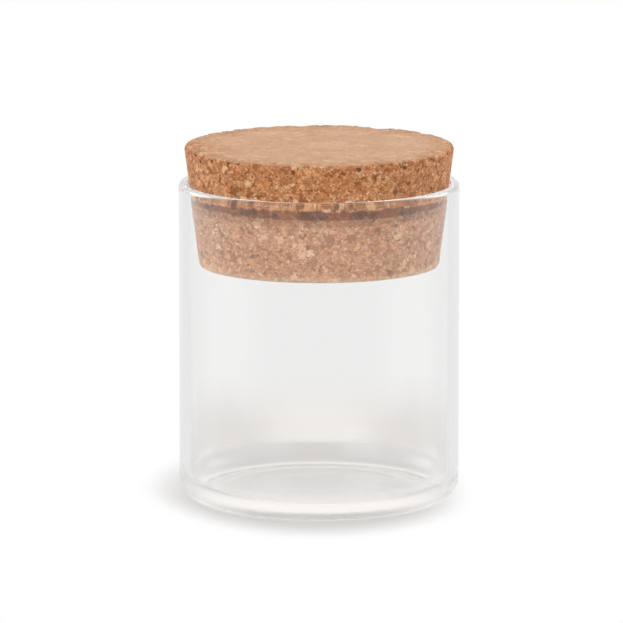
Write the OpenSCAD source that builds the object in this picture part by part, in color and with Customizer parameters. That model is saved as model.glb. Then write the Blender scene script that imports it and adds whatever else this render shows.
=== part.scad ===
// Straight-sided glass storage jar closed by a tapered cork lid.
// The jar stands on z = 0 with its axis on Z. All sizes are in millimetres.

/* [Glass jar] */
// Outside diameter of the jar
jar_d = 60; // [40:1:110]
// Height of the glass, from the standing ring to the top of the rim
jar_h = 68.6; // [50:0.2:160]
// Thickness of the side wall
wall_t = 2.2; // [1.8:0.1:4]
// Thickness of the base
base_t = 2.2; // [2:0.1:5]
// Outside radius of the rounded heel between base and side
heel_r = 4.6; // [3.2:0.1:6]
// Inside radius between floor and side
floor_r = 4.4; // [2.4:0.1:6]
// Width of the flat ring the jar stands on, between the heel and the push-up
stand_w = 4.4; // [1.5:0.1:8]
// Height of the shallow dome pushed up under the base
punt_h = 1.6; // [0.6:0.1:4]

/* [Cork lid] */
// Slope of the cork's side from upright, in degrees
cork_taper = 7.3; // [3:0.1:12]
// Height of the cork that stands above the rim
cork_above_h = 7.8; // [4:0.1:20]
// Depth of the cork plug below the top of the rim
cork_plug_h = 17.6; // [8:0.1:30]
// Rounding of the cork's top edge
cork_top_r = 0.7; // [0.3:0.1:1.5]
// Rounding of the cork's bottom edge
cork_bottom_r = 0.7; // [0.3:0.1:2]
// Clearance between the cork and the glass where the cork seats
seat_gap = 0.04; // [0.02:0.01:0.1]

/* [Hidden] */
$fn = 180;

// The wall, by its outside, inside and middle radii
jar_r = jar_d / 2;
bore_r = jar_r - wall_t;
mid_wall_r = jar_r - wall_t / 2;

// The fire-polished rim is a full round, as thick as the wall
rim_r = wall_t / 2;
rim_z = jar_h - rim_r;

// Radius of the sphere whose cap is the push-up
punt_r = jar_r - heel_r - stand_w;
punt_ball_r = (punt_r * punt_r + punt_h * punt_h) / (2 * punt_h);

// The cork's side is a cone that lies seat_gap off the round of the rim
seat_r = mid_wall_r - (rim_r + seat_gap) * cos(cork_taper);
seat_z = rim_z + (rim_r + seat_gap) * sin(cork_taper);
cork_top_z = jar_h + cork_above_h;
cork_bottom_z = jar_h - cork_plug_h;

// Height above the rim to which the hollow is cut, so that it leaves no skin
over = 1;

// Radius of the cork's cone at height z
function cork_r(z) = seat_r + (z - seat_z) * tan(cork_taper);

// Distance along a face from its corner to where a rounding of radius r starts,
// at a corner whose two sides turn through the given angle
function round_setback(r, turn) = r * tan(turn / 2);

// Outside of the glass up to the middle of the rim's round
module glass_outline() {
    translate([0, heel_r]) square([jar_r, rim_z - heel_r]);
    square([jar_r - heel_r, rim_z]);
    translate([jar_r - heel_r, heel_r]) circle(heel_r);
}

// The hollow of the jar over a flat floor, with a rounded corner between floor and side
module bore_outline() {
    corner_z = base_t + floor_r;
    translate([0, corner_z]) square([bore_r, rim_z - corner_z + over]);
    translate([0, base_t]) square([bore_r - floor_r, floor_r]);
    translate([bore_r - floor_r, corner_z]) circle(floor_r);
}

// Right half of the ball that forms a dome whose crown is at height top_z
module dome_outline(top_z) {
    intersection() {
        translate([0, top_z - punt_ball_r]) circle(punt_ball_r);
        translate([0, top_z - 2 * punt_ball_r]) square([punt_ball_r, 2 * punt_ball_r]);
    }
}

// Section of the glass, right of the axis; the floor rises over the push-up at an even thickness
module glass_section() {
    difference() {
        glass_outline();
        difference() {
            bore_outline();
            dome_outline(base_t + punt_h);
        }
        dome_outline(punt_h);
    }
    translate([mid_wall_r, rim_z]) circle(rim_r);
}

module glass_jar() {
    color([0.90, 0.92, 0.91, 0.35])
        rotate_extrude() glass_section();
}

// Section of the cork, right of the axis: a cone with both edges eased
module cork_section() {
    top_turn = 90 + cork_taper;
    bottom_turn = 90 - cork_taper;
    top_r = cork_r(cork_top_z);
    bottom_r = cork_r(cork_bottom_z);
    top_set = round_setback(cork_top_r, top_turn);
    bottom_set = round_setback(cork_bottom_r, bottom_turn);
    slope = [sin(cork_taper), cos(cork_taper)];
    polygon([
        [0, cork_bottom_z],
        [bottom_r - bottom_set, cork_bottom_z],
        [bottom_r, cork_bottom_z] + bottom_set * slope,
        [top_r, cork_top_z] - top_set * slope,
        [top_r - top_set, cork_top_z],
        [0, cork_top_z]
    ]);
    translate([top_r - top_set, cork_top_z - cork_top_r]) circle(cork_top_r);
    translate([bottom_r - bottom_set, cork_bottom_z + cork_bottom_r]) circle(cork_bottom_r);
}

module cork_lid() {
    color([0.76, 0.55, 0.39])
        rotate_extrude() cork_section();
}

glass_jar();
cork_lid();
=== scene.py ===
import math

import bpy
import numpy as np
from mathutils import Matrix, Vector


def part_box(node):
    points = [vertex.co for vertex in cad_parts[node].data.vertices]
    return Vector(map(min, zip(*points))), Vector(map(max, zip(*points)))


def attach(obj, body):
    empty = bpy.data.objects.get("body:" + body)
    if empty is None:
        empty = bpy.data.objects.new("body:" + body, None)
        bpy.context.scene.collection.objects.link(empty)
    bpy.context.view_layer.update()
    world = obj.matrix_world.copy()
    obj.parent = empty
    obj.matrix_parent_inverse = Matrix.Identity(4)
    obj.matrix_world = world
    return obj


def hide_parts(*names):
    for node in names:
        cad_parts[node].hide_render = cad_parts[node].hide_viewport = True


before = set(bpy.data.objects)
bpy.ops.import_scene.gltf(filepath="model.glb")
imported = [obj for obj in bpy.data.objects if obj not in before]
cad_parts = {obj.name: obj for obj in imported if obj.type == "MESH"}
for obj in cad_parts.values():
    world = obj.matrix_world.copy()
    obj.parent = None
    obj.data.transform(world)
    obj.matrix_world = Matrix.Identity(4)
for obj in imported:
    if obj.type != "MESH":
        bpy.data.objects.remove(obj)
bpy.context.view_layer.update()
mm = 0.001


# Meshes

def meshObject(name, points, *faceArrays):
    # A smooth-shaded mesh from an array of points and arrays of quads or triangles
    faces = [face for array in faceArrays for face in array.tolist()]
    mesh = bpy.data.meshes.new(name)
    mesh.from_pydata(points.tolist(), [], faces)
    mesh.validate()
    mesh.polygons.foreach_set("use_smooth", np.ones(len(mesh.polygons), dtype=bool))
    piece = bpy.data.objects.new(name, mesh)
    bpy.context.scene.collection.objects.link(piece)
    return piece


def ramp(value, low, high):
    # From 0 to 1 in a straight line as the value goes from low to high
    return np.clip((value - low) / (high - low), 0, 1)


def band(fromMiddle, half, softness):
    # 1 inside a band and 0 outside it, with edges of that softness
    return ramp(half - np.abs(fromMiddle), -softness / 2, softness / 2)


def arc(centre, radius, start, end, count):
    # Points (r, z) along a circle of that centre and radius, from one angle in degrees to another
    turn = np.radians(np.linspace(start, end, count))
    return np.stack([centre[0] + radius * np.cos(turn), centre[1] + radius * np.sin(turn)], axis=1)


def straight(start, end, count):
    # Points at equal steps from start to end
    share = np.linspace(0, 1, count)[:, None]
    return (1 - share) * np.array(start) + share * np.array(end)


def joined(*runs):
    # Runs of points end to end, with the repeated point at each meeting left out
    return np.concatenate([runs[0]] + [run[1:] for run in runs[1:]])


def carriedRound(r, z, turn):
    # Points at radius r and height z, a row of them for each height and a column for each angle
    return np.stack([r * np.cos(turn), r * np.sin(turn), z + 0 * turn], axis=2).reshape(-1, 3)


# Shader nodes. Numbers that a smooth step takes are (from, to), or (from, to, result at from, result at to)

nodeSpacing = (240, -200)


def addNode(tree, kind, column, row, **settings):
    # A node at a place in the tree's own grid, with its properties set
    node = tree.nodes.new(kind)
    node.location = (nodeSpacing[0] * column, nodeSpacing[1] * row)
    for name, value in settings.items():
        setattr(node, name, value)
    return node


def feed(tree, socket, value):
    # Links another node's output to a socket, or sets the socket's own value; a colour gets its alpha
    if isinstance(value, bpy.types.NodeSocket):
        tree.links.new(value, socket)
    elif socket.type == "RGBA":
        socket.default_value = (*value, 1)
    else:
        socket.default_value = value


def maths(tree, column, row, operation, *values, clamp=False):
    # A Math node whose inputs are numbers or other nodes' outputs
    node = addNode(tree, "ShaderNodeMath", column, row, operation=operation, use_clamp=clamp)
    for socket, value in zip(node.inputs, values):
        feed(tree, socket, value)
    return node.outputs[0]


def vectors(tree, column, row, operation, *values, scale=None):
    # The same for a Vector Math node; SCALE alone takes a scale
    node = addNode(tree, "ShaderNodeVectorMath", column, row, operation=operation)
    for socket, value in zip(node.inputs, values):
        feed(tree, socket, value)
    if scale is not None:
        node.inputs["Scale"].default_value = scale
    return node.outputs["Value" if operation == "LENGTH" else "Vector"]


def parts(tree, column, row, vector):
    # The three numbers of a vector or a colour
    node = addNode(tree, "ShaderNodeSeparateXYZ", column, row)
    tree.links.new(vector, node.inputs[0])
    return node.outputs


def swapped(tree, column, row, vector, order):
    # The same vector with its coordinates in another order
    apart = parts(tree, column, row, vector)
    together = addNode(tree, "ShaderNodeCombineXYZ", column + 1, row)
    for place, source in enumerate(order):
        tree.links.new(apart[source], together.inputs[place])
    return together.outputs[0]


def mixed(tree, column, row, factor, first, second, blend="MIX"):
    # A colour mix; each input is a colour or another node's output
    node = addNode(tree, "ShaderNodeMix", column, row, data_type="RGBA", blend_type=blend)
    for socket, value in ((node.inputs[0], factor), (node.inputs[6], first), (node.inputs[7], second)):
        feed(tree, socket, value)
    return node.outputs[2]


def mixedNumber(tree, column, row, factor, first, second):
    # The same for a plain number
    node = addNode(tree, "ShaderNodeMix", column, row, data_type="FLOAT")
    for socket, value in ((node.inputs[0], factor), (node.inputs[2], first), (node.inputs[3], second)):
        feed(tree, socket, value)
    return node.outputs[0]


def mixedShader(tree, column, row, factor, first, second):
    # A mix of two shaders
    node = addNode(tree, "ShaderNodeMixShader", column, row)
    for socket, source in zip(node.inputs, (factor, first, second)):
        tree.links.new(source, socket)
    return node.outputs[0]


def glowing(tree, column, row, colour, strength):
    # An Emission node
    node = addNode(tree, "ShaderNodeEmission", column, row)
    feed(tree, node.inputs["Color"], colour)
    feed(tree, node.inputs["Strength"], strength)
    return node.outputs[0]


def stepped(tree, column, row, value, low, high, start=0.0, end=1.0):
    # A smooth step of value from start to end as it passes from low to high
    node = addNode(tree, "ShaderNodeMapRange", column, row, interpolation_type="SMOOTHSTEP")
    tree.links.new(value, node.inputs["Value"])
    for name, number in (("From Min", low), ("From Max", high), ("To Min", start), ("To Max", end)):
        node.inputs[name].default_value = number
    return node.outputs["Result"]


def noise(tree, column, row, place, scale, detail=2.0, roughness=0.5):
    # A Noise Texture node's value
    node = addNode(tree, "ShaderNodeTexNoise", column, row)
    for name, value in (("Vector", place), ("Scale", scale), ("Detail", detail), ("Roughness", roughness)):
        feed(tree, node.inputs[name], value)
    return node.outputs["Fac"]


def srgb(shown):
    # A colour given in display values from 0 to 255, as the linear colour that a shader takes
    share = np.array(shown) / 255
    linear = np.where(share <= 0.04045, share / 12.92, ((share + 0.055) / 1.055) ** 2.4)
    return tuple(float(value) for value in linear)


def newMaterial(name):
    # A material that holds only the surface's own coordinates and an output
    material = bpy.data.materials.new(name)
    material.use_nodes = True
    tree = material.node_tree
    tree.nodes.clear()
    place = addNode(tree, "ShaderNodeTexCoord", -8, 0)
    output = addNode(tree, "ShaderNodeOutputMaterial", 9, 0)
    return material, tree, place.outputs["Object"], output.inputs["Surface"]


def newGroup(name, inputs, outputs):
    # An empty shader node group with named sockets: (name, type) and for an input its default value
    group = bpy.data.node_groups.new(name, "ShaderNodeTree")
    for label, kind, value in inputs:
        socket = group.interface.new_socket(name=label, in_out="INPUT", socket_type=kind)
        if value is not None:
            socket.default_value = value
    for label, kind in outputs:
        group.interface.new_socket(name=label, in_out="OUTPUT", socket_type=kind)
    return group, addNode(group, "NodeGroupInput", -6, 0), addNode(group, "NodeGroupOutput", 8, 0)


def placeGroup(tree, group, column, row, vector, values=None):
    # A group node in a material, fed with the surface's own coordinates and the material's own values
    node = addNode(tree, "ShaderNodeGroup", column, row, node_tree=group)
    tree.links.new(vector, node.inputs["Vector"])
    for name, value in (values or {}).items():
        node.inputs[name].default_value = value
    return node


# Handling marks, on the glass and on the cork

handlingMarks = {
    "patchSize": 9 * mm,
    "detail": 3,
    "roughness": 0.55,
    "rubbedFrom": (0.42, 0.66),                  # the noise between which a patch goes from clean to rubbed
}


def handlingGroup(marks):
    # Soft rubbed patches, from a noise of a few octaves
    group, start, end = newGroup("handling", [("Vector", "NodeSocketVector", None),
                                              ("Patch Size", "NodeSocketFloat", marks["patchSize"])],
                                 [("Patches", "NodeSocketFloat")])
    scale = maths(group, -4, 1, "DIVIDE", 1.0, start.outputs["Patch Size"])
    patches = noise(group, -2, 0, start.outputs["Vector"], scale, marks["detail"], marks["roughness"])
    group.links.new(stepped(group, 0, 0, patches, *marks["rubbedFrom"]), end.inputs["Patches"])
    return group


# Glass jar. Its sizes repeat the solid's; the outside radius and the height come from its box in model.glb

glassJar = {
    "wall": 2.2 * mm,
    "base": 2.2 * mm,
    "heelRadius": 4.6 * mm,
    "floorRadius": 4.4 * mm,
    "standWidth": 4.4 * mm,
    "puntHeight": 1.6 * mm,
    "puntPower": 1.5,                            # above 1, the push-up runs out softly into the standing ring
    "waveDepth": 0.035 * mm,                     # how far the drawn wall wanders inward from a true cylinder
    # each wave: how many there are in a turn, its start, its twist from foot to rim, and its strength
    "waves": ((2, 1.3, 2.1, 1.0), (3, 0.0, -2.6, 0.7), (5, 0.0, 7.5, 0.5)),
    "waveRadii": (0.55, 0.85),                   # shares of the outside radius over which the waves set in
    "waveFade": 8 * mm,                          # height below the top of the rim over which they fade out
    "columns": 360,
    # points along each stretch of the section
    "rows": {"dome": 36, "ring": 8, "heel": 28, "outside": 56, "rim": 32, "inside": 50, "corner": 20,
             "floor": 6},
    "ior": 1.474,
    "tint": (0.942, 0.942, 0.939),
    "shadowTint": (0.99, 0.99, 0.985),
    "dullBelow": (9 * mm, 5 * mm),               # the heel and base are a little dull from standing
    "dullness": 0.18,
    "dullRim": (67.0 * mm, 68.2 * mm),           # and so is the top of the rim, from the cork
    "rimDullness": 0.03,
    "patchSize": 9 * mm,
    "patchDullness": 0.006,
}


def glassProfile(jar, outer, height):
    # Section of the glass as (r, z), from under the middle of the base, round the outside, over the rim,
    # and down the inside to the middle of the floor. The push-up falls off from its height as a power of
    # one less the square of its radius, and the floor rises over it at the thickness of the base
    wall, base, heel, corner = jar["wall"], jar["base"], jar["heelRadius"], jar["floorRadius"]
    rows = jar["rows"]
    bore = outer - wall
    rim = wall / 2
    rimZ = height - rim
    puntR = outer - heel - jar["standWidth"]
    domeR = np.linspace(0, puntR, rows["dome"])
    domeZ = jar["puntHeight"] * (1 - (domeR / puntR) ** 2) ** jar["puntPower"]
    dome = np.stack([domeR, domeZ], axis=1)
    ring = straight((puntR, 0), (outer - heel, 0), rows["ring"])
    heelArc = arc((outer - heel, heel), heel, -90, 0, rows["heel"])
    outside = straight((outer, heel), (outer, rimZ), rows["outside"])
    rimArc = arc((outer - rim, rimZ), rim, 0, 180, rows["rim"])
    inside = straight((bore, rimZ), (bore, base + corner), rows["inside"])
    cornerArc = arc((bore - corner, base + corner), corner, 0, -90, rows["corner"])
    floor = straight((bore - corner, base), (puntR, base), rows["floor"])
    return joined(dome, ring, heelArc, outside, rimArc, inside, cornerArc, floor, dome[::-1] + [0, base])


def glassMesh(jar):
    # The section carried round the axis. The wall wanders inward by a sum of slow sines in angle and height,
    # and a pole closes the middle of the underside and of the floor
    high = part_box("glass_jar")[1]
    profile = glassProfile(jar, high.x, high.z)
    columns = jar["columns"]
    turn = np.arange(columns) * 2 * math.pi / columns
    r, z = profile[1:-1, 0][:, None], profile[1:-1, 1][:, None]
    highest = sum(strength for count, start, twist, strength in jar["waves"])
    wave = sum(strength * np.sin(count * turn + start + twist * z / high.z)
               for count, start, twist, strength in jar["waves"])
    wave = (wave + highest) / (2 * highest)
    onWall = ramp(r / high.x, *jar["waveRadii"]) * ramp(high.z - z, 0, jar["waveFade"])
    rings = carriedRound(r - jar["waveDepth"] * wave * onWall, z, turn)
    points = np.concatenate([rings, [[0, 0, profile[0, 1]], [0, 0, profile[-1, 1]]]])
    index = np.arange(len(rings)).reshape(-1, columns)
    after = np.roll(index, -1, axis=1)
    quads = np.stack([index[:-1], after[:-1], after[1:], index[1:]], axis=2).reshape(-1, 4)
    underPole, floorPole = np.full(columns, len(rings)), np.full(columns, len(rings) + 1)
    under = np.stack([underPole, after[0], index[0]], axis=1)
    floor = np.stack([floorPole, index[-1], after[-1]], axis=1)
    return meshObject("clear_glass_jar", points, quads, under, floor)


def clearGlass(jar, handling):
    # Clear glass: bends light, mirrors it, and lets the lamps' light through to what is behind it.
    # Its roughness is the sum of the dull heel, the dull rim and the handled patches
    material, tree, place, surface = newMaterial("clearGlass")
    shader = addNode(tree, "ShaderNodeBsdfPrincipled", 6, 0)
    shader.inputs["Base Color"].default_value = (*jar["tint"], 1)
    shader.inputs["Transmission Weight"].default_value = 1
    shader.inputs["IOR"].default_value = jar["ior"]
    touch = placeGroup(tree, handling, -4, 0, place, {"Patch Size": jar["patchSize"]})
    height = parts(tree, -6, 2, place)[2]
    heel = stepped(tree, -4, 2, height, *jar["dullBelow"], 0.0, jar["dullness"])
    rim = stepped(tree, -4, 3, height, *jar["dullRim"], 0.0, jar["rimDullness"])
    patches = maths(tree, 1, 1, "MULTIPLY", touch.outputs["Patches"], jar["patchDullness"])
    rough = maths(tree, 2, 1, "ADD", patches, maths(tree, -3, 2, "ADD", heel, rim))
    tree.links.new(rough, shader.inputs["Roughness"])
    through = addNode(tree, "ShaderNodeBsdfTransparent", 6, 3)
    through.inputs["Color"].default_value = (*jar["shadowTint"], 1)
    path = addNode(tree, "ShaderNodeLightPath", 4, 4)
    lamps = maths(tree, 5, 4, "MAXIMUM", path.outputs["Is Shadow Ray"], path.outputs["Is Diffuse Ray"])
    tree.links.new(mixedShader(tree, 8, 0, lamps, shader.outputs[0], through.outputs[0]), surface)
    return material


# Cork lid. Its outline comes from its box in model.glb. Colours are in display values, and a layer is
# (colour, strength)

corkLid = {
    "taper": math.radians(7.3),
    "topRound": 0.7 * mm,
    "bottomRound": 0.7 * mm,
    "roundRows": 6,
    "coneRows": 70,
    "halfGrid": 75,                              # squares from the middle of a face to its edge

    # the granules
    "granuleSize": 1.6 * mm,
    "chipSize": 0.8 * mm,                        # the finer granules between the large ones
    "shattered": 0.74,                           # share of the large granules that are broken into fine ones
    "warp": 0.16 * mm,
    "warpLength": 1.2 * mm,
    # a second push: its depth and number of waves, both against the first's, and where its waves start
    "warpAgain": (0.5, 2.3, 1.0),
    "reliefStep": 0.06 * mm,                     # how unevenly the granules stand on the ground side
    "groove": 0.08 * mm,
    "grooveWidth": 0.20 * mm,
    "pitShare": 0.075,
    "pitDepth": 0.42 * mm,
    "pitRim": 0.30 * mm,                         # a pit is at its full depth this far inside its granule
    "fineSize": 0.45 * mm,
    "fineDetail": 4,
    "clusterSize": 4.5 * mm,
    "spotSpacing": 1.1 * mm,
    "spotStretch": (1, 1, 1.5),
    "spotEdge": (0.31, 0.19),                    # distances from a spot's middle, in spacings
    "lenticelAbove": 0.55,                       # cells over this value hold a brown lenticel
    "paleBelow": 0.22,                           # and those under this one a pale chip

    # the sanded faces
    "sandedFacing": (0.75, 0.95),                # how squarely a surface must face up or down to be sanded
    "sandedRelief": 0.30,                        # the sanded faces keep this share of the relief
    "sandedPits": 0.50,                          # and this share of the pits' depth
    "bareSpot": (-27 * mm, -4 * mm, 8 * mm),     # the sanding missed this corner of the top: x, y and reach
    "bareShare": 0.55,
    "bareDepth": 2 * mm,                         # only this near the top
    "dustAbove": 5 * mm,                         # no dust lies on the underside or less than this above it
    "dustEdge": (0.72, 0.92),                    # shares of the radius over which it thins out,
    "dustLoss": 0.45,                            # and the share of it that is gone there

    # the top edge, and the band that the rim has pressed, which also holds a painted shade of the gap between
    # cork and glass
    "crumble": 0.30 * mm,                        # depth of the worn spots along the top edge
    "crumbleReach": 0.9 * mm,
    "crumbleFrom": (0.45, 0.75),                 # granules over these values crumble
    "grooveShadeZ": 65.65 * mm,                      # middle height of the dark band, where the shade is painted
    "grooveShadeHalf": 1.05 * mm,                    # half its height at the front and the back
    "grooveShadeThin": 0.25,                         # share of it that is left at the sides
    "pressedDepth": 0.06 * mm,
    "grooveShadeSoft": 0.2 * mm,
    "grooveShadeWander": 0.35 * mm,                  # how far its edges wander from granule to granule
    "grooveShadeSides": 0.55,                        # how dark it is at the sides
    "grooveShadeTurn": (0.38, 0.58),                 # sines of the turn from them over which it darkens
    "grooveShadePatchy": 0.8,                        # how dark it is on the granules with the lowest values
    "patchyFrom": (0.3, 0.5),
    "lowerBandDrop": 1.4 * mm,                     # a paler band of the same groove and painted shade lies this far below it
    "lowerBandShare": 0.45,
    "lowerBandSoft": 0.3 * mm,

    # granules that broke out of the top edge: turn from the front in degrees, height below the top, width
    # and depth
    "chips": {
        "leftEnd": (-67, 0.3 * mm, 0.60 * mm, 0.45 * mm),
        "leftLow": (-62, 1.5 * mm, 0.55 * mm, 0.40 * mm),
        "leftWide": (-53, 0.6 * mm, 0.70 * mm, 0.55 * mm),
        "leftTwinA": (-42.5, 0.5 * mm, 0.60 * mm, 0.50 * mm),
        "leftTwinB": (-37, 0.3 * mm, 0.62 * mm, 0.55 * mm),
        "frontLow": (-11, 1.6 * mm, 0.60 * mm, 0.40 * mm),
        "right": (17, 1.1 * mm, 0.70 * mm, 0.45 * mm),
        "rightFar": (39, 1.4 * mm, 0.60 * mm, 0.40 * mm),
        "rightLow": (52, 5.2 * mm, 0.60 * mm, 0.50 * mm),
        "backA": (-172, 0.4 * mm, 1.60 * mm, 0.35 * mm),
        "backB": (153, 0.3 * mm, 2.20 * mm, 0.45 * mm),
        "backC": (127, 0.5 * mm, 1.20 * mm, 0.40 * mm),
    },

    # colours
    "granuleShades": ((0.00, (170, 99, 54)), (0.16, (214, 141, 88)), (0.42, (236, 162, 109)),
                      (0.72, (243, 174, 123)), (0.94, (251, 195, 149))),
    "mottle": (0.30, 0.70, 0.80, 1.12),          # brightness over the fine noise
    "leanShare": 0.35,                           # part of the lean that is a granule's own, not its cluster's
    "leanFrom": (0.34, 0.66),
    "leanHues": ((1.015, 0.97, 0.975), (0.99, 1.02, 0.98)),
    "binder": ((140, 82, 46), 0.50),
    "binderEdge": (0.16 * mm, 0.02 * mm),        # distances from the seam between granules
    "pit": ((112, 66, 38), 0.80),
    "pitEdge": (0.0, 0.2 * mm),
    "lenticel": ((118, 64, 32), 0.68),
    "paleChip": ((250, 208, 166), 0.22),
    "dustShades": ((230, 187, 150), (242, 202, 165)),
    "dustStrength": 0.68,
    "cleanLitPlugBelow": (67.2 * mm, 66.4 * mm),        # the plug, which no hand rubs, stays paler below here, with painted light added for the cork seen through the glass
    "cleanLitPlug": ((246, 198, 162), 0.20),
    "cleanLitPlugGain": (1.11, 1.22, 1.45),             # and its colour is multiplied by this, a painted lift of light
    "floorLitEdgeBelow": (52.9 * mm, 51.3 * mm),       # the bottom edge is paler: painted light from the floor below
    "floorLitEdge": ((255, 224, 192), 0.42),
    # painted shade in the hollows where granules broke out of the top edge
    "broken": ((96, 52, 26), 0.85),
    "brokenEdge": (0.25, 0.75),
    # painted shade of the gap between cork and glass, laid over the pressed band
    "paintedShadeColours": ((84, 36, 14), (146, 76, 36)),
    "paintedShadeStrength": 0.94,
    "paintedShadeMix": (0.40, 0.60),

    # surface
    "specular": 0.25,
    "sheen": 0.08,
    "sheenRoughness": 0.6,
    "patchSize": 9 * mm,
    "roughness": (0.82, 0.92),                   # clean and rubbed
    "seamWidth": 0.14 * mm,
    "seamBump": 0.6,
    "fineBump": 0.8,
    "bumpStrength": 0.6,
    "bumpDepth": 0.08 * mm,
}


# Cell noise, worked out as the Voronoi Texture node does, so that relief and colour share their granules

def rotated(bits, places):
    # The bits of 32-bit numbers turned left by some places
    return (bits << np.uint32(places)) | (bits >> np.uint32(32 - places))


def stirred(a, b, c):
    # The hash's mixing of three numbers, before more numbers join
    for places in (4, 6, 8, 16, 19, 4):
        a = (a - c) ^ rotated(c, places)
        c = c + b
        a, b, c = b, c, a
    return a, b, c


def settled(a, b, c):
    # The hash's last mixing, which gives one number
    for places in (14, 11, 25, 16, 4, 14, 24):
        c = (c ^ b) - rotated(b, places)
        a, b, c = b, c, a
    return b


def cellHash(cell):
    # Three numbers from 0 to 1 for each whole-numbered cell, by integer hashing of its coordinates
    seed = 0xDEADBEEF + 13
    three, four = np.uint32(seed + 4 * 3), np.uint32(seed + 4 * 4)       # for three and for four numbers
    # adding zero turns a minus zero into a plain one
    x, y, z = [(np.ascontiguousarray(cell[..., axis], np.float32) + np.float32(0)).view(np.uint32)
               for axis in range(3)]
    values = [settled(three + x, three + y, three + z)]
    for fourth in (1, 2):
        a, b, c = stirred(four + x, four + y, four + z)
        values.append(settled(a + np.float32(fourth).view(np.uint32), b, c))
    return np.stack([value / 0xFFFFFFFF for value in values], axis=-1)


def cells(points, size):
    # For each point: three random values of its cell, and its distance to the nearest wall between cells,
    # which lies halfway between its own cell's seed and a neighbour's
    scaled = points / size
    home = np.floor(scaled)
    steps = np.array([(x, y, z) for z in (-1, 0, 1) for y in (-1, 0, 1) for x in (-1, 0, 1)], float)
    toSeed = steps + cellHash(home[:, None, :] + steps) - (scaled - home)[:, None, :]
    nearest = np.linalg.norm(toSeed, axis=2).argmin(axis=1)
    rows = np.arange(len(points))
    toOwn = toSeed[rows, nearest][:, None, :]
    across = toSeed - toOwn
    gap = np.linalg.norm(across, axis=2)
    gap[rows, nearest] = 1
    edge = ((toSeed + toOwn) / 2 * across).sum(axis=2) / gap
    edge[rows, nearest] = np.inf                 # a seed has no wall to itself
    return cellHash(home + steps[nearest]), edge.min(axis=1) * size


def warped(points, cork):
    # Each coordinate is pushed by the sine of another, twice, so that granules aren't straight-sided
    waves = 2 * math.pi / cork["warpLength"]
    share, finer, start = cork["warpAgain"]
    first = points + cork["warp"] * np.sin(waves * points[:, [1, 2, 0]])
    return first + share * cork["warp"] * np.sin(finer * waves * first[:, [2, 0, 1]] + start)


def granules(points, cork):
    # The large granules, some of them broken into fine ones: three random values and the distance to an edge
    place = warped(points, cork)
    large, largeEdge = cells(place, cork["granuleSize"])
    fine, fineEdge = cells(place, cork["chipSize"])
    broken = large[:, 2] < cork["shattered"]
    value = np.where(broken[:, None], fine, large)
    edge = np.where(broken, np.minimum(largeEdge, fineEdge), largeEdge)
    return value, edge


# Shape of the cork

def faceGrid(half):
    # A square grid of points pressed into a unit disc, ring by ring, and its rim in order of angle
    step = np.arange(-half, half + 1) / half
    a, b = [side.ravel() for side in np.meshgrid(step, step)]
    wide = np.abs(a) > np.abs(b)
    radius = np.where(wide, a, b)
    other = np.where(wide, b, a)
    slope = np.divide(other, radius, out=np.zeros_like(radius), where=radius != 0)
    angle = np.where(wide, math.pi / 4 * slope, math.pi / 2 - math.pi / 4 * slope)
    x, y = radius * np.cos(angle), radius * np.sin(angle)
    index = np.arange(len(x)).reshape(len(step), -1)
    quads = np.stack([index[:-1, :-1], index[:-1, 1:], index[1:, 1:], index[1:, :-1]], axis=2).reshape(-1, 4)
    rim = np.flatnonzero(np.abs(radius) > 1 - 0.5 / half)
    rim = rim[np.argsort(np.arctan2(y[rim], x[rim]) % (2 * math.pi))]
    return x, y, quads, rim


def corkProfile(cork, low, high):
    # Section of the cork's side as (r, z), downwards: an arc, the cone, and an arc. The top arc reaches the
    # box's width, just above its meeting with the cone
    taper = cork["taper"]
    slope = math.degrees(taper)
    topRound, bottomRound = cork["topRound"], cork["bottomRound"]
    topArc = arc((high.x - topRound, high.z - topRound), topRound, 90, -slope, cork["roundRows"])
    bottomZ = low.z + bottomRound
    drop = topArc[-1, 1] - bottomZ
    bottomR = topArc[-1, 0] - drop * math.tan(taper) - bottomRound / math.cos(taper)
    bottomArc = arc((bottomR, bottomZ), bottomRound, -slope, -90, cork["roundRows"])
    return joined(topArc, straight(topArc[-1], bottomArc[0], cork["coneRows"]), bottomArc)


def corkSurface(cork, low, high):
    # The smooth cork: the section carried round between two round faces, as points, the outward direction at
    # each, and three arrays of quads
    profile = corkProfile(cork, low, high)
    along = np.gradient(profile, axis=0)
    along /= np.linalg.norm(along, axis=1)[:, None]
    x, y, quads, rim = faceGrid(cork["halfGrid"])
    grid, columns = len(x), len(rim)
    turn = np.arctan2(y[rim], x[rim])
    r, z = profile[1:-1, 0][:, None], profile[1:-1, 1][:, None]
    ring = carriedRound(r, z, turn)
    ringOut = carriedRound(-along[1:-1, 1][:, None], along[1:-1, 0][:, None], turn)
    top = np.stack([x * profile[0, 0], y * profile[0, 0], np.full(grid, high.z)], axis=1)
    bottom = np.stack([x * profile[-1, 0], y * profile[-1, 0], np.full(grid, low.z)], axis=1)
    points = np.concatenate([top, ring, bottom])
    outward = np.concatenate([np.tile([0, 0, 1.0], (grid, 1)), ringOut, np.tile([0, 0, -1.0], (grid, 1))])
    underStart = grid + len(ring)
    rows = np.arange(grid, underStart).reshape(-1, columns)
    belt = np.concatenate([[rim], rows, [rim + underStart]])
    after = np.roll(belt, -1, axis=1)
    sides = np.stack([belt[:-1], belt[1:], after[1:], after[:-1]], axis=2).reshape(-1, 4)
    return points, outward, (quads, sides, quads[:, ::-1] + underStart)


def sandedShare(points, outward, cork, topZ):
    # How far each point is sanded: fully on both faces, and less in the one corner of the top
    bareX, bareY, reach = cork["bareSpot"]
    bare = np.exp(-((points[:, 0] - bareX) ** 2 + (points[:, 1] - bareY) ** 2) / reach ** 2)
    onTop = points[:, 2] > topZ - cork["bareDepth"]
    return ramp(np.abs(outward[:, 2]), *cork["sandedFacing"]) * (1 - cork["bareShare"] * bare * onTop)


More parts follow.
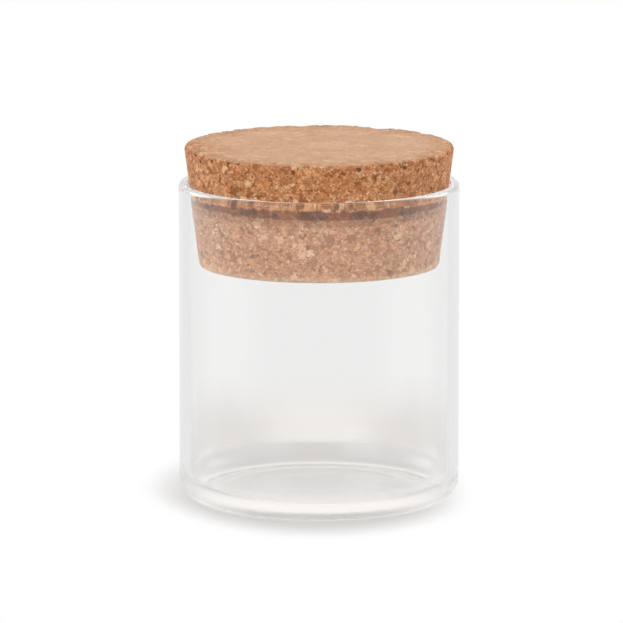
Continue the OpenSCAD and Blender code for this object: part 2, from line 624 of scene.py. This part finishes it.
def crumbledShare(points, value, cork, high):
    # Crumbled granules: a bell of the distance to the top edge, in the granules whose first value is high
    fromTop = points[:, 2] - high.z
    fromSide = np.hypot(points[:, 0], points[:, 1]) - high.x
    nearEdge = np.exp(-(fromTop ** 2 + fromSide ** 2) / cork["crumbleReach"] ** 2)
    return nearEdge * ramp(value[:, 0], *cork["crumbleFrom"])


def brokenEdge(points, chips, high):
    # A bell of the distance to each chip: the depth that all of them take off, and the strongest of them
    lost = np.zeros(len(points))
    chipped = np.zeros(len(points))
    for turnFromFront, below, width, depth in chips.values():
        at = math.radians(turnFromFront - 90)
        spot = np.array([high.x * math.cos(at), high.x * math.sin(at), high.z - below])
        near = np.exp(-(np.linalg.norm(points - spot, axis=1) / width) ** 2)
        lost += depth * near
        chipped = np.maximum(chipped, near)
    return lost, chipped


def seatGrooveAndShadeShare(points, outward, value, cork):
    # The band that the rim has pressed, which also carries a painted shade of the gap under the rim, and a
    # paler one below it, widest and darkest towards the front and the back, with edges that wander from
    # granule to granule
    around = np.abs(np.sin(np.arctan2(points[:, 1], points[:, 0])))
    thin, sides, patchy = cork["grooveShadeThin"], cork["grooveShadeSides"], cork["grooveShadePatchy"]
    half = cork["grooveShadeHalf"] * (thin + (1 - thin) * around)
    fromBand = points[:, 2] + cork["grooveShadeWander"] * (value[:, 0] - 0.5) - cork["grooveShadeZ"]
    core = band(fromBand, half, cork["grooveShadeSoft"])
    lowerBand = cork["lowerBandShare"] * band(fromBand + cork["lowerBandDrop"], half, cork["lowerBandSoft"])
    dark = sides + (1 - sides) * ramp(around, *cork["grooveShadeTurn"])
    dark = dark * (patchy + (1 - patchy) * ramp(value[:, 2], *cork["patchyFrom"]))
    return np.maximum(core, lowerBand) * (1 - np.abs(outward[:, 2])) * dark


def corkMesh(cork):
    # The smooth cork, with every point sunk against its outward direction by its granule's own height, the
    # groove round it, pits, the worn top edge and the pressed band. Three of the masks serve the colour too,
    # and there the pressed band's mask carries a painted shade
    low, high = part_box("cork_lid")
    points, outward, faces = corkSurface(cork, low, high)
    value, edge = granules(points, cork)
    sanded = sandedShare(points, outward, cork, high.z)
    lost, chipped = brokenEdge(points, cork["chips"], high)
    seatGrooveAndShade = seatGrooveAndShadeShare(points, outward, value, cork)
    groove = np.exp(-(edge / cork["grooveWidth"]) ** 2)
    pit = (value[:, 1] > 1 - cork["pitShare"]) * ramp(edge, 0, cork["pitRim"])
    relief = cork["reliefStep"] * value[:, 1] + cork["groove"] * groove
    sink = (1 - (1 - cork["sandedRelief"]) * sanded) * relief
    sink += (1 - (1 - cork["sandedPits"]) * sanded) * cork["pitDepth"] * pit
    sink += cork["crumble"] * crumbledShare(points, value, cork, high)
    sink += lost + cork["pressedDepth"] * seatGrooveAndShade
    points = points - outward * sink[:, None]
    piece = meshObject("cork_bung", points, *faces)
    fromAxis = np.hypot(points[:, 0], points[:, 1])
    dusty = sanded * (points[:, 2] > low.z + cork["dustAbove"])
    dusty = dusty * (1 - cork["dustLoss"] * ramp(fromAxis / high.x, *cork["dustEdge"]))
    for name, mask in (("sanded", dusty), ("seatGrooveAndShade", seatGrooveAndShade), ("chipped", chipped)):
        attribute = piece.data.attributes.new(name, "FLOAT", "POINT")
        attribute.data.foreach_set("value", mask.astype(np.float32))
    return piece


# Finish of the cork

def granuleGroup(cork):
    # The cork's granules in the shader, by the same steps as warped() and granules() above
    group, start, end = newGroup("corkGranules", [("Vector", "NodeSocketVector", None)],
                                 [("Value", "NodeSocketVector"), ("Edge", "NodeSocketFloat")])
    waves = 2 * math.pi / cork["warpLength"]
    share, finer, phase = cork["warpAgain"]
    place = start.outputs["Vector"]
    turned = vectors(group, -4, 1, "SCALE", swapped(group, -5, 1, place, (1, 2, 0)), scale=waves)
    push = vectors(group, -3, 1, "SCALE", vectors(group, -3, 2, "SINE", turned), scale=cork["warp"])
    first = vectors(group, -2, 0, "ADD", place, push)
    turned = vectors(group, -1, 1, "SCALE", swapped(group, -2, 2, first, (2, 0, 1)), scale=finer * waves)
    turned = vectors(group, -1, 2, "ADD", turned, (phase, phase, phase))
    push = vectors(group, 0, 2, "SCALE", vectors(group, 0, 1, "SINE", turned), scale=share * cork["warp"])
    place = vectors(group, 1, 0, "ADD", first, push)
    found = []
    for row, size in enumerate((cork["granuleSize"], cork["chipSize"])):
        whole = addNode(group, "ShaderNodeTexVoronoi", 2, 2 * row)
        walls = addNode(group, "ShaderNodeTexVoronoi", 2, 2 * row + 1, feature="DISTANCE_TO_EDGE")
        for node in (whole, walls):
            node.inputs["Scale"].default_value = 1 / size
            group.links.new(place, node.inputs["Vector"])
        edge = maths(group, 3, 2 * row + 1, "MULTIPLY", walls.outputs[0], size)
        found.append((whole.outputs["Color"], edge))
    (large, largeEdge), (fine, fineEdge) = found
    broken = maths(group, 4, 0, "LESS_THAN", parts(group, 3, 0, large)[2], cork["shattered"])
    value = mixed(group, 5, 0, broken, large, fine)
    nearest = maths(group, 4, 2, "MINIMUM", largeEdge, fineEdge)
    edge = mixedNumber(group, 5, 2, broken, largeEdge, nearest)
    group.links.new(value, end.inputs["Value"])
    group.links.new(edge, end.inputs["Edge"])
    return group


def laidOver(tree, column, row, mask, layer, colour):
    # The colour with a layer's shade over it, as strong as the mask times the layer's strength
    shade, strength = layer
    share = maths(tree, column - 1, row, "MULTIPLY", mask, strength)
    return mixed(tree, column, row, share, colour, srgb(shade))


def granuleColour(tree, grain, fine, clusters, cork):
    # Granules in tans and browns that lean a little to pink or to olive, singly and in clusters, with binder
    # between them and brown pits
    value = parts(tree, -5, 0, grain.outputs["Value"])
    tone = addNode(tree, "ShaderNodeValToRGB", -4, 0)
    stops = tone.color_ramp.elements
    while len(stops) < len(cork["granuleShades"]):
        stops.new(0.5)
    for stop, (position, shade) in zip(stops, cork["granuleShades"]):
        stop.position, stop.color = position, (*srgb(shade), 1)
    tree.links.new(value[0], tone.inputs[0])
    mottle = stepped(tree, -4, 2, fine, *cork["mottle"])
    colour = mixed(tree, -2, 0, 1.0, tone.outputs[0], mottle, "MULTIPLY")
    own = maths(tree, -4, 13, "MULTIPLY", value[2], cork["leanShare"])
    shared = maths(tree, -4, 14, "MULTIPLY", clusters, 1 - cork["leanShare"])
    lean = stepped(tree, -2, 13, maths(tree, -3, 13, "ADD", own, shared), *cork["leanFrom"])
    hue = mixed(tree, -1, 13, lean, *cork["leanHues"])
    colour = mixed(tree, -2, 1, 1.0, colour, hue, "MULTIPLY")
    binder = stepped(tree, -4, 1, grain.outputs["Edge"], *cork["binderEdge"])
    colour = laidOver(tree, -1, 0, binder, cork["binder"], colour)
    pit = maths(tree, -4, 3, "GREATER_THAN", value[1], 1 - cork["pitShare"])
    pit = maths(tree, -3, 3, "MULTIPLY", pit, stepped(tree, -4, 4, grain.outputs["Edge"], *cork["pitEdge"]))
    return laidOver(tree, 0, 0, pit, cork["pit"], colour)


def spottedColour(tree, place, colour, cork):
    # Small brown lenticels and pale chips of bark-free cork, each in some of the cells of a finer pattern
    spots = addNode(tree, "ShaderNodeTexVoronoi", -6, 9)
    spots.inputs["Scale"].default_value = 1 / cork["spotSpacing"]
    tree.links.new(vectors(tree, -7, 9, "MULTIPLY", place, cork["spotStretch"]), spots.inputs["Vector"])
    kind = parts(tree, -5, 9, spots.outputs["Color"])[0]
    inside = stepped(tree, -5, 10, spots.outputs["Distance"], *cork["spotEdge"])
    brown = maths(tree, -4, 10, "GREATER_THAN", kind, cork["lenticelAbove"])
    pale = maths(tree, -4, 12, "LESS_THAN", kind, cork["paleBelow"])
    colour = laidOver(tree, 0, 1, maths(tree, -3, 9, "MULTIPLY", brown, inside), cork["lenticel"], colour)
    return laidOver(tree, 0, 2, maths(tree, -3, 11, "MULTIPLY", pale, inside), cork["paleChip"], colour)


def wornColourWithPaintedLight(tree, place, colour, patches, clusters, cork):
    # In turn: dust on the sanded top, the plug made paler by its cleaner colour and by painted light, painted
    # light from the floor on the bottom edge, and painted shade in the chips and in the pressed band
    height = parts(tree, -6, 8, place)[2]
    sanded, chipped, seatGrooveAndShade = [
        addNode(tree, "ShaderNodeAttribute", -6, row, attribute_name=name).outputs["Fac"]
        for row, name in ((5, "sanded"), (6, "chipped"), (7, "seatGrooveAndShade"))]
    dustShades = [srgb(shade) for shade in cork["dustShades"]]
    dust = mixed(tree, 0, 4, stepped(tree, -1, 5, patches, 0.0, 1.0), *dustShades)
    dusty = maths(tree, -1, 2, "MULTIPLY", sanded, cork["dustStrength"])
    colour = mixed(tree, 1, 0, dusty, colour, dust)
    # below the rim: the plug's cleaner colour together with painted light
    cleanLitPlug = stepped(tree, -5, 8, height, *cork["cleanLitPlugBelow"])
    colour = laidOver(tree, 1, 1, cleanLitPlug, cork["cleanLitPlug"], colour)
    colour = mixed(tree, 1, 2, cleanLitPlug, colour, cork["cleanLitPlugGain"], "MULTIPLY")
    # painted light from the floor on the bottom edge
    floorLitEdge = stepped(tree, -5, 7, height, *cork["floorLitEdgeBelow"])
    colour = laidOver(tree, 1, 3, floorLitEdge, cork["floorLitEdge"], colour)
    # painted shade in the chips' hollows
    broken = stepped(tree, 0, 5, chipped, *cork["brokenEdge"])
    colour = laidOver(tree, 2, 0, broken, cork["broken"], colour)
    # painted shade of the gap between cork and glass, over the pressed band
    paintedShadeColours = [srgb(shade) for shade in cork["paintedShadeColours"]]
    shade = mixed(tree, 2, 7, stepped(tree, 1, 7, clusters, *cork["paintedShadeMix"]), *paintedShadeColours)
    strength = maths(tree, 2, 6, "MULTIPLY", seatGrooveAndShade, cork["paintedShadeStrength"])
    return mixed(tree, 3, 0, strength, colour, shade)


def groundCork(cork, granule, handling):
    # Matt ground cork with a faint sheen, its colour in three layers, and a bump from seams and a fine grain
    material, tree, place, surface = newMaterial("groundCork")
    shader = addNode(tree, "ShaderNodeBsdfPrincipled", 6, 0)
    shader.inputs["Specular IOR Level"].default_value = cork["specular"]
    shader.inputs["Sheen Weight"].default_value = cork["sheen"]
    shader.inputs["Sheen Roughness"].default_value = cork["sheenRoughness"]
    grain = placeGroup(tree, granule, -6, 0, place)
    touch = placeGroup(tree, handling, -6, 4, place, {"Patch Size": cork["patchSize"]})
    patches = touch.outputs["Patches"]
    fine = noise(tree, -6, 2, place, 1 / cork["fineSize"], cork["fineDetail"])
    clusters = noise(tree, -6, 12, place, 1 / cork["clusterSize"])
    colour = granuleColour(tree, grain, fine, clusters, cork)
    colour = spottedColour(tree, place, colour, cork)
    colour = wornColourWithPaintedLight(tree, place, colour, patches, clusters, cork)
    tree.links.new(colour, shader.inputs["Base Color"])
    tree.links.new(stepped(tree, 2, 2, patches, 0, 1, *cork["roughness"]), shader.inputs["Roughness"])
    seam = stepped(tree, 0, 3, grain.outputs["Edge"], 0.0, cork["seamWidth"])
    seam = maths(tree, 1, 3, "MULTIPLY", seam, cork["seamBump"])
    height = maths(tree, 2, 3, "ADD", seam, maths(tree, 1, 4, "MULTIPLY", fine, cork["fineBump"]))
    bump = addNode(tree, "ShaderNodeBump", 4, 3)
    bump.inputs["Strength"].default_value = cork["bumpStrength"]
    bump.inputs["Distance"].default_value = cork["bumpDepth"]
    tree.links.new(height, bump.inputs["Height"])
    tree.links.new(bump.outputs[0], shader.inputs["Normal"])
    tree.links.new(shader.outputs[0], surface)
    return material


# Studio

studio = {
    "aim": (-1.63 * mm, 0.0, 40.26 * mm),
    "elevation": 10.4,
    "distance": 1.35,
    "lens": 364.0,
    "sensor": 36,
    "clipEnd": 50,
    "bounces": 160,                              # light runs a long way inside a glass wall and heel
    "ambient": 0.50,                             # brightness of the light from all round
    "mirrored": 1.0,                             # brightness that gloss sees all round
    "mirroredAbove": 0.70,                       # and overhead
    "skyRise": (0.36, 0.52),                     # sine of the heights between which it changes
    "floorRadius": 4.0,
    "floorSides": 96,
    "floorSink": 0.02 * mm,                      # so that the jar's foot doesn't share its plane
    "floorColour": 0.80,
    "nearTurn": (-22 * mm, 22 * mm),             # from before the jar to behind it, the floor's own shade is
    "nearLift": (0.02, 0.14),                    # lifted by these
    "underGlow": 1.13,                           # how bright glass sees the floor right under the jar
    "underShare": 0.90,
    "underReach": (31 * mm, 27 * mm),
    "underColour": (1.0, 0.965, 0.935),
    "shadeMiddle": (0.0, 9 * mm, 0.0),           # the painted shadow is longest behind the jar
    "shadeSquash": (0.95, 0.64, 0.0),
    "shadeLean": (-30 * mm, 10 * mm, 0.0, 3 * mm),   # from front to middle it comes to lie a little left
    "whiteReach": (24 * mm, 35 * mm),            # squashed distances over which the floor turns plain white
    "sideDim": 0.16,                             # how much darker glass and gloss see the floor at a slant
    "slantTurn": (0.03, 0.30),                   # x times y of the direction: most halfway between the axes
    "frontDim": 0.38,                            # the same for all that is mirrored from the camera's side,
    "frontTurn": (0.25, 0.75),                   # where the studio is dim
    "closeReach": (150 * mm, 75 * mm),           # nearer than this, light straight through is dimmed too
    "closeColour": (1.02, 0.985, 0.955),         # and warmer

    # each soft lamp: where it stands, its size in metres and its power in watts
    "lamps": {
        "sideLeft": ((-0.87, 0.53, 0.45), 0.60, 2.3),
        "sideRight": ((0.87, 0.53, 0.50), 0.60, 2.3),
        "frontLeft": ((-0.70, -0.75, 0.45), 0.80, 3.2),
        "frontRight": ((0.75, -0.65, 0.45), 0.80, 2.0),
        "topSheet": ((0.0, -0.10, 1.10), 0.80, 2.2),
    },
}


def makeCamera(studio):
    # The camera looks down at the aim point from the front
    tilt = math.radians(studio["elevation"])
    x, y, z = studio["aim"]
    lens = bpy.data.cameras.new("photoCamera")
    lens.lens = studio["lens"]
    lens.sensor_width = studio["sensor"]
    lens.clip_end = studio["clipEnd"]
    camera = bpy.data.objects.new("photoCamera", lens)
    camera.location = (x, y - studio["distance"] * math.cos(tilt), z + studio["distance"] * math.sin(tilt))
    camera.rotation_euler = (math.pi / 2 - tilt, 0, 0)
    bpy.context.scene.collection.objects.link(camera)
    bpy.context.scene.camera = camera


def makeLamps(studio):
    # Round soft lamps, each turned so that it faces the aim point
    for name, (place, size, power) in studio["lamps"].items():
        light = bpy.data.lights.new(name, "AREA")
        light.shape, light.size, light.energy = "DISK", size, power
        lamp = bpy.data.objects.new(name, light)
        lamp.location = place
        away = np.array(place) - np.array(studio["aim"])
        lean = math.acos(away[2] / np.linalg.norm(away))
        lamp.rotation_euler = (lean, 0, math.atan2(away[1], away[0]) + math.pi / 2)
        bpy.context.scene.collection.objects.link(lamp)


def rayKinds(tree, column, row):
    # 1 on rays straight from the camera; on those that gloss or glass sent on; and on those that were
    # mirrored on their way
    path = addNode(tree, "ShaderNodeLightPath", column, row).outputs
    sent = maths(tree, column + 1, row, "MAXIMUM", path["Is Glossy Ray"], path["Is Transmission Ray"])
    mirrored = maths(tree, column + 1, row + 1, "GREATER_THAN", path["Glossy Depth"], 0.5)
    return path["Is Camera Ray"], sent, mirrored


def frontShade(tree, column, row, towardsY, mirrored, studio):
    # How much darker mirrored rays see the studio: a smooth step of the direction's minus y
    front = maths(tree, column, row, "MULTIPLY", towardsY, -1.0)
    front = stepped(tree, column + 1, row, front, *studio["frontTurn"], 0.0, studio["frontDim"])
    return maths(tree, column + 2, row, "MULTIPLY", front, mirrored)


def floorNear(tree, place, away, seen, sent, studio):
    # The floor beside the jar: its own shade, a little lifted where it is seen, and under the jar an even
    # glow for glass and gloss
    plain = addNode(tree, "ShaderNodeBsdfDiffuse", 0, 0)
    plain.inputs["Color"].default_value = (*[studio["floorColour"]] * 3, 1)
    lift = stepped(tree, -3, 2, parts(tree, -4, 2, place)[1], *studio["nearTurn"], *studio["nearLift"])
    lift = glowing(tree, 0, 1, (1, 1, 1), maths(tree, -1, 2, "MULTIPLY", seen, lift))
    lifted = addNode(tree, "ShaderNodeAddShader", 1, 0)
    tree.links.new(plain.outputs[0], lifted.inputs[0])
    tree.links.new(lift, lifted.inputs[1])
    under = stepped(tree, -3, 3, away, *studio["underReach"], 0.0, studio["underShare"])
    glow = glowing(tree, 0, 3, studio["underColour"], studio["underGlow"])
    return mixedShader(tree, 1, 1, maths(tree, -1, 3, "MULTIPLY", sent, under), lifted.outputs[0], glow)


def floorFar(tree, place, away, sent, mirrored, studio):
    # Plain white. Glass and gloss see it darker at a slant and towards the camera's side, and light that came
    # straight through from close by is warmer
    towards = parts(tree, -3, 6, vectors(tree, -4, 6, "NORMALIZE", place))
    close = stepped(tree, -1, 8, away, *studio["closeReach"])
    slant = maths(tree, -1, 6, "ABSOLUTE", maths(tree, -2, 6, "MULTIPLY", towards[0], towards[1]))
    dim = stepped(tree, 0, 6, slant, *studio["slantTurn"], 0.0, studio["sideDim"])
    dim = maths(tree, 1, 8, "MULTIPLY", dim, maths(tree, 0, 8, "MAXIMUM", mirrored, close))
    dim = maths(tree, 2, 7, "MAXIMUM", dim, frontShade(tree, -1, 7, towards[1], mirrored, studio))
    throughOnly = maths(tree, -1, 9, "SUBTRACT", sent, mirrored)
    warm = maths(tree, 0, 9, "MULTIPLY", close, throughOnly, clamp=True)
    colour = mixed(tree, 1, 2, warm, (1, 1, 1), studio["closeColour"])
    strength = maths(tree, 3, 6, "SUBTRACT", 1.0, maths(tree, 2, 6, "MULTIPLY", dim, sent))
    return glowing(tree, 4, 2, colour, strength)


def paleFloor(studio):
    # Plain for the light that the floor sends on. Where the camera, gloss or glass sees it, it turns white
    # away from the jar, by the distance to the shade's middle with the shade squashed to a circle. So the
    # soft shadow round the jar is mostly a painted shadow: a patch of that shape in which the floor keeps its
    # plain grey
    material, tree, place, surface = newMaterial("paleFloor")
    camera, sent, mirrored = rayKinds(tree, -7, 5)
    seen = maths(tree, -5, 5, "MAXIMUM", camera, sent)
    away = vectors(tree, -4, 3, "LENGTH", place)
    near = floorNear(tree, place, away, seen, sent, studio)
    far = floorFar(tree, place, away, sent, mirrored, studio)
    lean = addNode(tree, "ShaderNodeCombineXYZ", -4, 10)
    leanX = stepped(tree, -5, 10, parts(tree, -6, 10, place)[1], *studio["shadeLean"])
    tree.links.new(leanX, lean.inputs[0])
    beyond = vectors(tree, -4, 4, "SUBTRACT", place, studio["shadeMiddle"])
    beyond = vectors(tree, -3, 10, "ADD", beyond, lean.outputs[0])
    beyond = vectors(tree, -1, 10, "LENGTH", vectors(tree, -2, 10, "MULTIPLY", beyond, studio["shadeSquash"]))
    beyond = stepped(tree, 0, 10, beyond, *studio["whiteReach"])
    tree.links.new(mixedShader(tree, 6, 0, maths(tree, 1, 10, "MULTIPLY", seen, beyond), near, far), surface)
    return material


def makeFloor(studio):
    # A round floor just under the jar
    sides = studio["floorSides"]
    rim = arc((0, 0), studio["floorRadius"], 0, 360, sides + 1)[:-1]
    points = np.column_stack([rim, np.full(sides, -studio["floorSink"])])
    mesh = bpy.data.meshes.new("studioFloor")
    mesh.from_pydata(points.tolist(), [], [list(range(sides))])
    mesh.materials.append(paleFloor(studio))
    floor = bpy.data.objects.new("studioFloor", mesh)
    bpy.context.scene.collection.objects.link(floor)


def makeWorld(studio):
    # Soft light from all round; white where the camera, gloss or glass looks at it
    world = bpy.data.worlds.new("studioWorld")
    world.use_nodes = True
    tree = world.node_tree
    tree.nodes.clear()
    background = addNode(tree, "ShaderNodeBackground", 5, 0)
    output = addNode(tree, "ShaderNodeOutputWorld", 6, 0)
    camera, sent, mirrored = rayKinds(tree, -6, 0)
    direction = addNode(tree, "ShaderNodeTexCoord", -6, 2)
    towards = parts(tree, -5, 2, direction.outputs["Generated"])
    ambient = studio["ambient"]
    sky = stepped(tree, -3, 2, towards[2], *studio["skyRise"], studio["mirrored"] - ambient,
                  studio["mirroredAbove"] - ambient)
    strength = maths(tree, 0, 1, "ADD", maths(tree, -1, 1, "MULTIPLY", sent, sky), ambient)
    front = frontShade(tree, -4, 3, towards[1], mirrored, studio)
    strength = maths(tree, 1, 2, "MULTIPLY", strength, maths(tree, 0, 3, "SUBTRACT", 1.0, front))
    strength = maths(tree, 2, 1, "MAXIMUM", strength, camera)
    tree.links.new(strength, background.inputs["Strength"])
    tree.links.new(background.outputs[0], output.inputs["Surface"])
    bpy.context.scene.world = world


print("stage: studio")
bpy.context.scene.view_settings.view_transform = "Standard"
for limit in ("max_bounces", "transmission_bounces", "glossy_bounces", "transparent_max_bounces"):
    setattr(bpy.context.scene.cycles, limit, studio["bounces"])
makeCamera(studio)
makeLamps(studio)
makeFloor(studio)
makeWorld(studio)

print("stage: glass")
handling = handlingGroup(handlingMarks)
glassPiece = glassMesh(glassJar)
glassPiece.data.materials.append(clearGlass(glassJar, handling))
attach(glassPiece, "jar")
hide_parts("glass_jar")

print("stage: cork")
corkPiece = corkMesh(corkLid)
corkPiece.data.materials.append(groundCork(corkLid, granuleGroup(corkLid), handling))
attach(corkPiece, "lid")
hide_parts("cork_lid")

print("stage: finish")
